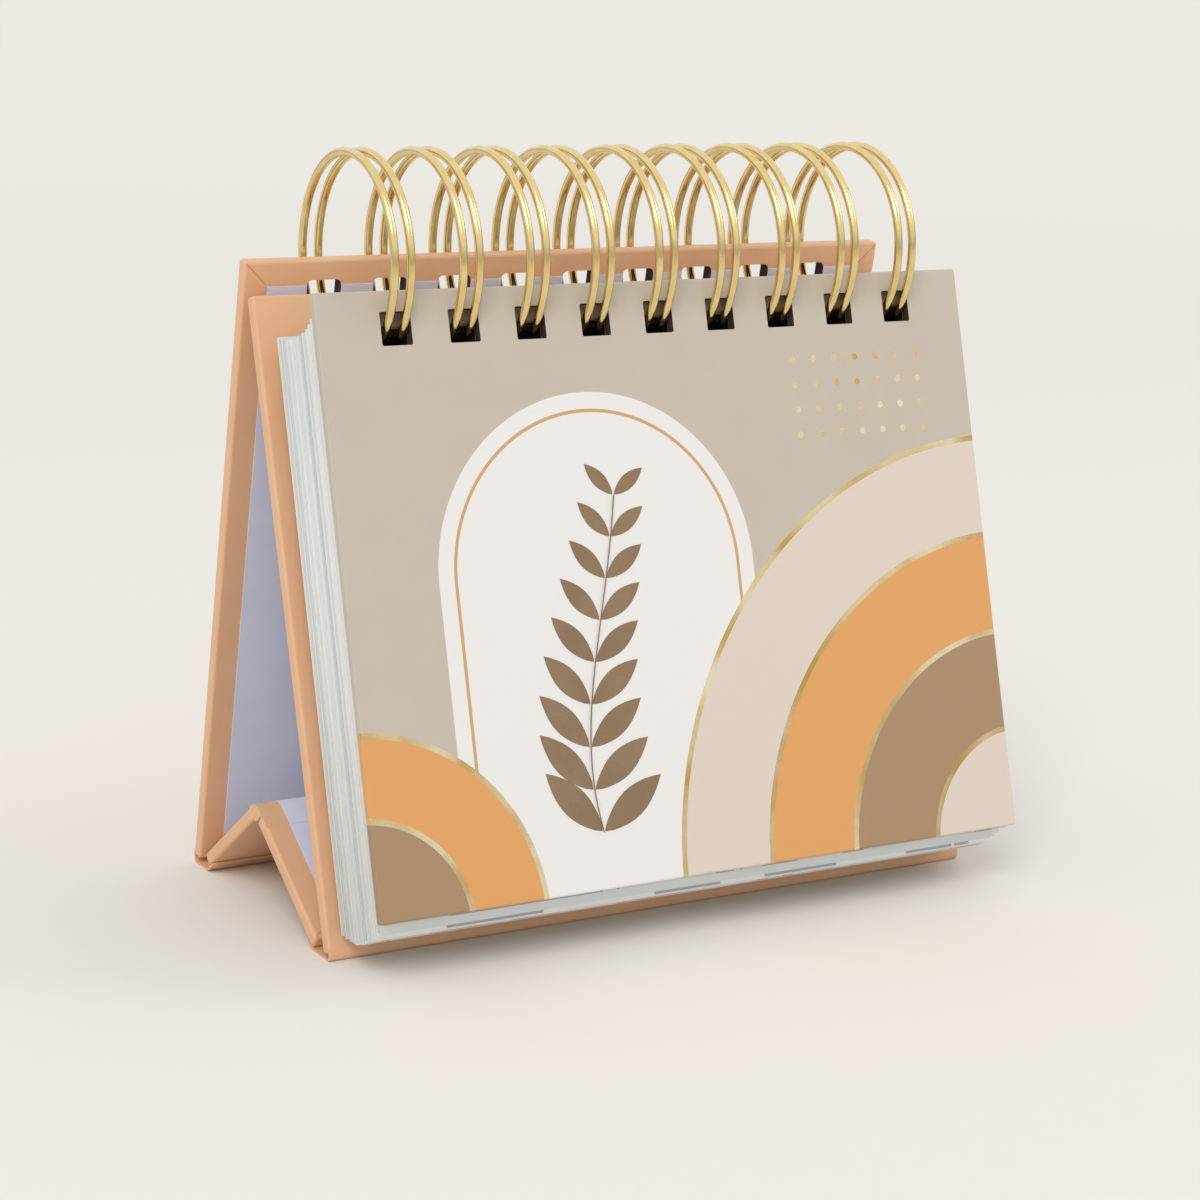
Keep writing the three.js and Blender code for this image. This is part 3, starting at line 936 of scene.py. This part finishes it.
# %% Foot papers
FOOT_PAPER = 0.4
FOOT_GAP = 0.1
FOOT_START = 2.4
FOOT_PROUD = 0.03
FOOT_TIP = 4.8
TOE = 1.5
HEEL = 0.3
BEND_REACH = 0.6
SIDE_INSET = 0.05
BLEND_FROM, BLEND_TO = 2.2, 7.4


def direction(angle):
    return Vector((math.cos(math.radians(angle)), math.sin(math.radians(angle))))


def foot_paper(side, foot, angle, inward, crease, tilt):
    up = direction(angle)
    board = direction(tilt)
    below = inward * (BOARD_DEPTH + FOOT_GAP + FOOT_PAPER)
    start = Vector((crease[0] + below * board.y, crease[1] - below * board.x))
    fold = start + board * (-start.y / board.y)
    corner = Vector(foot)
    toe = corner + Vector((inward * TOE, 0))
    proud = Vector((-up.y, up.x)) * (inward * FOOT_PROUD)
    before_fold = fold - Vector((inward * BEND_REACH, 0))
    after_fold = fold + board * BEND_REACH
    line = bezier([corner + up * FOOT_START + proud, corner + up + proud,
                   corner + Vector((inward * HEEL, 0)), toe], steps=12)
    line += bezier([toe, before_fold], steps=6)[1:]
    line += bezier([before_fold, fold, after_fold], steps=6)[1:]
    line += bezier([after_fold, start + board * FOOT_TIP], steps=4)[1:]
    outline = ribbon(line, inward * FOOT_PAPER)
    strip = extruded(side + "_foot_paper", outline, BOARD_WIDTH / 2 - SIDE_INSET, peach_paper)
    bend = [(0, (foot[0] + inward * y + SIDE_SHIFT) * MM, 0) for y in (BLEND_FROM, BLEND_TO)]
    bodies = ("easel_" + side, "base_" + side)
    fit_out(strip, SIDE, bodies, "peach_paper", side + "_hinge_strip", bend=bend)


foot_paper("front", FRONT_FOOT, FRONT_ANGLE, 1, FRONT_CREASE, BASE_FRONT_ANGLE)
foot_paper("rear", REAR_FOOT, REAR_ANGLE, -1, REAR_CREASE, BASE_REAR_ANGLE)

# %% [markdown]
# ## The ridge
# Between the two base boards the paper folds over the top of the ridge. The fold
# opens as the easel is closed, and no single joint of the frame lies there, so this
# crest can't be blended. It belongs to the front base board and only lies over the
# rear one. It starts from the two boards' own upper corners, and five more points
# close it below, between the boards' ends.

# %% Ridge fold
APEX_SHIFT = Vector((0.05, 1.72))  # from the middle between the boards' tops
REAR_LANDING = Vector((0, 0.12))
BELOW_REAR, BELOW_FRONT = Vector((-0.35, -0.55)), Vector((0.25, -0.5))
BELOW_APEX = Vector((0.36, -3.62)), Vector((-0.69, -3.57))
RIDGE_LAP = 3
RIDGE_ROUNDING = 0.6
RIDGE_OVERLAP = 0.02
SHARPNESS = 0.8


def in_side_view(plane, up):
    at = plane @ Vector((0, up, 0))
    return Vector((at.y / MM - SIDE_SHIFT, at.z / MM))


front_top = in_side_view(BASE_FRONT, BASE_FRONT_TOP)
rear_top = in_side_view(BASE_REAR, BASE_REAR_TOP)
apex = front_top.lerp(rear_top, 0.5) + APEX_SHIFT
run = (apex - front_top).normalized()
paper_level = Vector((run.y, -run.x)) * (LINING - RIDGE_OVERLAP)
line = [front_top - run * RIDGE_LAP + paper_level, front_top - run * (RIDGE_LAP / 2) + paper_level]
line += bezier([front_top - run * RIDGE_ROUNDING + paper_level, front_top.lerp(apex, SHARPNESS),
                rear_top.lerp(apex, SHARPNESS), rear_top + REAR_LANDING], steps=12)
underside = [rear_top + BELOW_REAR, *(apex + below for below in BELOW_APEX), front_top + BELOW_FRONT,
             front_top - run * RIDGE_LAP + paper_level * 2]
lining_half = BOARD_WIDTH / 2 - TURN_IN - LINING_SETBACK
ridge = extruded("ridge_fold", line + underside, BOARD_WIDTH / 2 - 2 * SIDE_INSET, peach_paper)
ridge_lining = extruded("ridge_lining", ribbon(line, LINING), lining_half, lining_paper)
fit_out(ridge, SIDE, "base_front", "peach_paper")
fit_out(ridge_lining, SIDE, "base_front", "liner")

# %% [markdown]
# ## A sprig on the cover: one leaf
# The printed sprig inside the arch is the one ornament with many equal pieces. Each
# leaf is a pointed oval. Its outline could be traced by hand, but a sine wave to a
# power a little under one gives the same full middle and sharp ends. It is printed
# ink, so it is only as thick as raised varnish.

# %% One leaf of the sprig
INK = 0.03
LEAF_STEPS = 10
LEAF_WIDTH = 0.17
LEAF_START = 0.02
FULLNESS = 0.9


def flat_leaf(name):
    turns = [k / LEAF_STEPS for k in range(1, LEAF_STEPS)]
    side = [(math.sin(math.pi * t) ** FULLNESS * LEAF_WIDTH, t) for t in turns]
    rim = [(0, LEAF_START)] + side + [(0, 1)] + [(-x, y) for x, y in side[::-1]]
    return prism(name, [[(x, y, z) for x, y in rim] for z in (0, 1)])


leaf = flat_leaf("one_leaf")
print("one leaf:", len(leaf.data.polygons), "faces")

# %% [markdown]
# ## A sprig on the cover: pairs along a stem
# The leaves stand in pairs that get smaller towards the tip. Eighteen placed by hand
# would be stiff to change, so a tree puts them on points along the stem's curve, and
# sweeps a flat bar along the same curve as the stem itself.

# %% Grow the sprig
TAPER, STEM_LEAN = -0.55, -0.12


def printed_stroke(add, curve, height, width):
    bar = add("GeometryNodeCurvePrimitiveQuadrilateral", {"Width": height, "Height": width})
    return add("GeometryNodeCurveToMesh", {"Curve": curve, "Profile Curve": bar, "Fill Caps": True})


def sprig_tree():
    tree, ids, add, given = start_tree(
        "leaves in pairs along a stem", Object=["Leaf"], Int=["Pairs"], Material=["Ink"],
        Float=["Leaf Length", "Spread", "Ink Height", "Stem Width"])
    stem = given["Geometry"]
    spots = add("GeometryNodeCurveToPoints", {"Curve": stem, "Count": given["Pairs"]}, mode="COUNT")
    index = add("GeometryNodeInputIndex")
    share = add(MATH, [index, given["Pairs"]], "DIVIDE")
    taper = add(MATH, [share, TAPER, 1.0], "MULTIPLY_ADD")
    size = add(MATH, [given["Leaf Length"], taper], "MULTIPLY")
    scale = add(XYZ, [size, size, given["Ink Height"]])
    source = add("GeometryNodeObjectInfo", {"Object": given["Leaf"]})
    joined = add("GeometryNodeJoinGeometry")
    for side in (-1.0, 1.0):
        angle = add(MATH, [given["Spread"], side, STEM_LEAN], "MULTIPLY_ADD")
        turn = add(XYZ, {"Z": angle})
        leaves = add("GeometryNodeInstanceOnPoints", {
            "Points": spots, "Instance": source.outputs["Geometry"], "Rotation": turn, "Scale": scale})
        tree.links.new(leaves.outputs[0], joined.inputs[0])
    stroke = printed_stroke(add, stem, given["Ink Height"], given["Stem Width"])
    tree.links.new(stroke.outputs[0], joined.inputs[0])
    end_tree(add, joined, given["Ink"])
    return tree, ids


STEM = [(-22, -101), (-26, -82), (-17, -66), (-13, -44)]
stem_points = [Vector((p.x, p.y, COVER_FACE + INK / 2)) for p in bezier(STEM, steps=40)]
stem_tree, stem_inputs = sprig_tree()
sprig = grown("printed_sprig", stem_tree, stem_inputs,
              {"Leaf": leaf, "Pairs": 9, "Leaf Length": 15.0, "Spread": 0.85, "Ink Height": INK,
               "Stem Width": 0.7, "Ink": brown_ink}, drawn_curve("stem", [stem_points]))
bpy.data.objects.remove(leaf)
fit_out(sprig, STACK, "cover", "cover_print")

# %% [markdown]
# ## What is printed on the leaves: rules
# A day calendar leaves ruled room for a note. Lines in the material would do, but the
# three sheets that the joints can uncover are at three depths, so a tree makes the
# rules as pieces that ride with their sheets. They are as thin as ink, so that the
# next sheet still closes over them.

# %% Ruled lines tree
PRINT_HEIGHT = 0.015


def ruled_lines_tree():
    tree, ids, add, given = start_tree(
        "ruled lines one below the other", Int=["Lines"], Material=["Ink"],
        Float=["Spacing", "Line Width", "Ink Height"])
    down = add(MATH, [given["Spacing"], -1.0], "MULTIPLY")
    step = add(XYZ, {"Y": down})
    rows = add("GeometryNodeMeshLine", {"Count": given["Lines"], "Offset": step})
    stroke = printed_stroke(add, given["Geometry"], given["Ink Height"], given["Line Width"])
    copies = add("GeometryNodeInstanceOnPoints", {"Points": rows, "Instance": stroke})
    end_tree(add, copies, given["Ink"])
    return tree, ids


rules_tree, rules_inputs = ruled_lines_tree()
print("tree of the rules:", len(rules_tree.nodes), "nodes")

# %% [markdown]
# ## What is printed on the leaves: day numerals
# Each leaf shows one large numeral. It is a text object made into a mesh before it is
# moved, because the frame wants plain meshes, and the sheet's plane then places it.

# %% Numerals and rules on three sheets
NUMERAL_SIZE, NUMERAL_BASELINE = 44, -64
RULE_HALF, FIRST_RULE = 42, -78
RULES = {"Lines": 4, "Spacing": 8.0, "Line Width": 0.3, "Ink Height": PRINT_HEIGHT, "Ink": brown_ink}
PRINT_GAP = 0.001


def numeral_piece(name, day):
    letters = bpy.data.curves.new(name, "FONT")
    letters.body = day
    letters.size = NUMERAL_SIZE
    letters.align_x = "CENTER"
    letters.extrude = PRINT_HEIGHT / 2
    numeral = plain_copy(linked(letters, name, [brown_ink]), name)
    numeral.data.transform(Matrix.Translation((0, NUMERAL_BASELINE, 0)))
    return numeral


for body, day in zip(PACKS, ("12", "13", "14")):
    rule = drawn_curve("rule", [[(x, FIRST_RULE, 0) for x in (-RULE_HALF, RULE_HALF)]])
    rules = grown(body + "_rules", rules_tree, rules_inputs, RULES, rule)
    for piece in (rules, numeral_piece(body + "_numeral", day)):
        place(piece, Matrix.Translation((0, 0, FACES[body] + PRINT_HEIGHT / 2 + PRINT_GAP)))
        fit_out(piece, STACK, body, "page")

# %% [markdown]
# ## Floor
# The calendar stands on a plain pale surface that runs on into the backdrop. A curved
# studio sweep would do, but its far part gets less light than its near part. So one
# flat floor takes the light and the shadow near the calendar, and for camera and
# mirror rays it fades far out to its own plain colour at full strength.

# %% Floor
FLOOR_REACH = 12.0
FADE_FROM, FADE_TO = 0.35, 1.6  # metres from the calendar
FLOOR_COLOUR = linear("#EDE9E3")


def fading_floor(add, where):
    away = add(VECTOR, [where], "LENGTH")
    far = add(RANGE, {"Value": away, "From Min": FADE_FROM, "From Max": FADE_TO},
              interpolation_type="SMOOTHSTEP")
    path = add("ShaderNodeLightPath").outputs
    seen = add(MATH, [path["Is Camera Ray"], path["Is Glossy Ray"]], "MAXIMUM")
    plain = add(MATH, [far, seen], "MULTIPLY")
    lit = add("ShaderNodeBsdfPrincipled", {"Base Color": FLOOR_COLOUR, "Roughness": 0.9})
    even = add("ShaderNodeEmission", {"Color": FLOOR_COLOUR, "Strength": 1.0})
    return add("ShaderNodeMixShader", [plain, lit, even])


floor_mesh = bpy.data.meshes.new("floor")
floor_mesh.from_pydata(corners(-FLOOR_REACH, -FLOOR_REACH, FLOOR_REACH, FLOOR_REACH), [], [(0, 1, 2, 3)])
floor = linked(floor_mesh, "floor", [new_material("pale table top", fading_floor)])
print("floor, m:", 2 * FLOOR_REACH)

# %% [markdown]
# ## Light
# A studio picture of this kind has one large soft lamp above and to the left, which
# gives the form and a soft shadow, and a pale world that fills the rest, at a level
# at which a colour comes out about as it is written. The camera sees it in the
# floor's own colour, so no horizon shows. An even world would leave the gold wire
# flat, so what mirrors show of it is darker towards the horizon.

# %% Lamps and world
LIGHT_LEVEL = 0.74
HORIZON_LEVEL = 0.35
LAMP_AIM = Vector((0, 0, 0.06))


def studio_world():
    world = bpy.data.worlds.new("studio")
    add = empty_tree(world)
    path = add("ShaderNodeLightPath").outputs
    direction = add("ShaderNodeTexCoord").outputs["Generated"]
    height = add("ShaderNodeSeparateXYZ", [direction]).outputs["Z"]
    mirrored = add(RANGE, {"Value": height, "From Min": -0.05, "From Max": 0.3,
                           "To Min": HORIZON_LEVEL, "To Max": 1.0})
    level = add(MIX, [path["Is Glossy Ray"], LIGHT_LEVEL, mirrored], data_type="FLOAT")
    glow = add("ShaderNodeBackground", {"Color": (1, 1, 1, 1), "Strength": level})
    backdrop = add("ShaderNodeBackground", {"Color": FLOOR_COLOUR, "Strength": 1.0})
    both = add("ShaderNodeMixShader", [path["Is Camera Ray"], glow, backdrop])
    add("ShaderNodeOutputWorld", [both])
    return world


def soft_lamp(name, at, size, power):
    data = bpy.data.lights.new(name, "AREA")
    data.size = size
    data.energy = power
    lamp = linked(data, name)
    lamp.location = at
    aim = LAMP_AIM - Vector(at)
    lamp.rotation_euler = aim.to_track_quat("-Z", "Y").to_euler()


bpy.context.scene.world = studio_world()
soft_lamp("window", (-2.25, -2.55, 3.45), size=2.1, power=80)
soft_lamp("strip", (1.1, -0.5, 0.9), size=0.5, power=2)

# %% [markdown]
# ## Camera
# The camera could be aimed by eye, but the photograph's own corners, holes and loops
# say where it stood. The values below are the fit: an eye point, three angles, and a
# focal length in pixels of the square picture, from which the lens follows.

# %% Camera
PHOTO_SIDE, SENSOR = 1200, 36
FOCAL_PIXELS = 2882.7
YAW, PITCH, ROLL = (math.radians(v) for v in (30.86, 13.37, 2.07))
EYE = (-0.2633, -0.43517, 0.1731)
camera_data = bpy.data.cameras.new("camera")
camera_data.sensor_width = SENSOR
camera_data.lens = FOCAL_PIXELS / PHOTO_SIDE * SENSOR
camera_data.clip_start = 0.01
camera = linked(camera_data, "camera")
camera.matrix_world = (Matrix.Translation(EYE) @ Matrix.Rotation(-YAW, 4, "Z") @
                       Matrix.Rotation(math.pi / 2 - PITCH, 4, "X") @ Matrix.Rotation(ROLL, 4, "Z"))
bpy.context.scene.camera = camera
bpy.context.scene.view_settings.view_transform = "Standard"
print("lens, mm: %.1f" % camera_data.lens)
